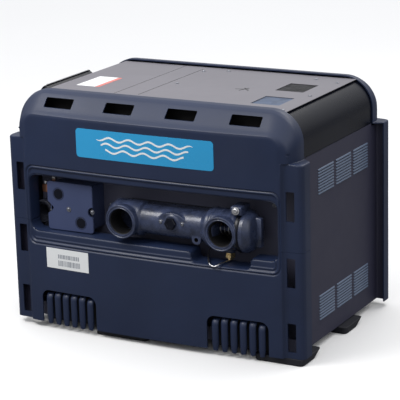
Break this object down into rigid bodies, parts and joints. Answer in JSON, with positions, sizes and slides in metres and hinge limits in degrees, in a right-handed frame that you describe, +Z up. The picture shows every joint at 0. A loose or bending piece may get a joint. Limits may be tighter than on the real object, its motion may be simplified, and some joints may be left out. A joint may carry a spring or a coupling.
{
  "type": "pool heater",
  "caption": "Boxy gas pool heater with ribbed end covers, louvred side, flat top and a recessed water header with two ports beside a junction box.",
  "frame": {"origin": "on the floor under the middle of the cabinet's box", "axes": "+X right along the end that carries the water header, which faces -Y; +Z up; the control panel is on the -X side"},
  "size_m": [0.782, 0.548, 0.584],
  "materials": {
    "cabinet_plastic": "fine moulded grain, bluish black",
    "shoulder_plastic": "semi-gloss moulded",
    "top_sheet_paint": "taupe powder coat",
    "side_sheet_paint": "dark grey powder coat",
    "header_plastic": "glass-filled black nylon",
    "rubber": "moulded",
    "steel": "plain",
    "galvanised": "zinc coated sheet",
    "copper": "copper, lightly tarnished",
    "brass": "machined",
    "cast_iron": "dark enamel",
    "circuit_board": "green board",
    "clear_lens": "smoked clear window"
  },
  "bodies": {
    "cabinet": {"access_plate": "galvanised", "base_pan": "galvanised", "blower_housing": "galvanised", "blower_motor": "cast_iron", "bonding_lug": "copper", "brass_fitting": "brass", "burner_1": "steel", "burner_2": "steel", "burner_3": "steel", "burner_4": "steel", "burner_manifold": "steel", "bypass_spring": "steel", "combustion_chamber": "galvanised", "control_bezel": "shoulder_plastic", "control_board": "circuit_board", "display_lens": "clear_lens", "exhaust_grille": "steel", "far_header": "header_plastic", "far_lower_panel": "cabinet_plastic", "far_upper_panel": "cabinet_plastic", "flue_collector": "galvanised", "foot_far_left": "cabinet_plastic", "foot_far_right": "cabinet_plastic", "foot_left_side": "cabinet_plastic", "foot_near_left": "cabinet_plastic", "foot_near_right": "cabinet_plastic", "foot_right_side": "cabinet_plastic", "gas_grommet": "rubber", "gas_inlet_pipe": "cast_iron", "gas_supply_tube": "steel", "gas_valve": "galvanised", "header_body": "header_plastic", "header_end_cap": "header_plastic", "header_gasket": "rubber", "header_plug": "brass", "heat_exchanger": "copper", "igniter": "steel", "junction_box": "header_plastic", "junction_box_cover": "header_plastic", "left_service_panel": "side_sheet_paint", "left_shoulder": "shoulder_plastic", "left_top_sheet": "top_sheet_paint", "lid_hinge_pin": "steel", "near_lower_panel": "cabinet_plastic", "near_upper_panel": "cabinet_plastic", "pressure_switch": "header_plastic", "pressure_tube": "copper", "recess_back_plate": "side_sheet_paint", "right_shoulder": "shoulder_plastic", "right_side_panel": "side_sheet_paint", "top_cover": "top_sheet_paint", "transformer": "cast_iron"},
    "control_lid": {"control_lid": "shoulder_plastic"},
    "mode_button": {"button_mode": "rubber"},
    "set_button": {"button_set": "rubber"},
    "down_button": {"button_down": "rubber"},
    "up_button": {"button_up": "rubber"},
    "gas_knob": {"gas_valve_knob": "rubber"},
    "poppet": {"bypass_poppet": "header_plastic"},
    "impeller": {"blower_impeller": "steel"}
  },
  "joints": [
    {"name": "lid_hinge", "type": "hinge", "parent": "cabinet", "child": "control_lid", "pos_m": [-0.33052, -0.059, 0.58273], "axis": [0, 1, 0], "range_deg": [0, 110]},
    {"name": "mode_press", "type": "slide", "parent": "cabinet", "child": "mode_button", "axis": [0.766, 0, -0.6428], "range_m": [0, 0.0012], "stiffness_N_per_m": 400, "springref_m": -0.0008},
    {"name": "set_press", "type": "slide", "parent": "cabinet", "child": "set_button", "axis": [0.766, 0, -0.6428], "range_m": [0, 0.0012], "stiffness_N_per_m": 400, "springref_m": -0.0008},
    {"name": "down_press", "type": "slide", "parent": "cabinet", "child": "down_button", "axis": [0.766, 0, -0.6428], "range_m": [0, 0.0012], "stiffness_N_per_m": 400, "springref_m": -0.0008},
    {"name": "up_press", "type": "slide", "parent": "cabinet", "child": "up_button", "axis": [0.766, 0, -0.6428], "range_m": [0, 0.0012], "stiffness_N_per_m": 400, "springref_m": -0.0008},
    {"name": "gas_knob_turn", "type": "hinge", "parent": "cabinet", "child": "gas_knob", "pos_m": [-0.32, -0.074, 0.3153], "axis": [0, 0, 1], "range_deg": [0, 90]},
    {"name": "bypass_slide", "type": "slide", "parent": "cabinet", "child": "poppet", "axis": [1, 0, 0], "range_m": [0, 0.01], "stiffness_N_per_m": 600, "springref_m": -0.006, "deforming": ["bypass_spring"]},
    {"name": "impeller_spin", "type": "hinge", "parent": "cabinet", "child": "impeller", "pos_m": [-0.272, -0.019, 0.13], "axis": [0, 1, 0], "continuous": true}
  ]
}
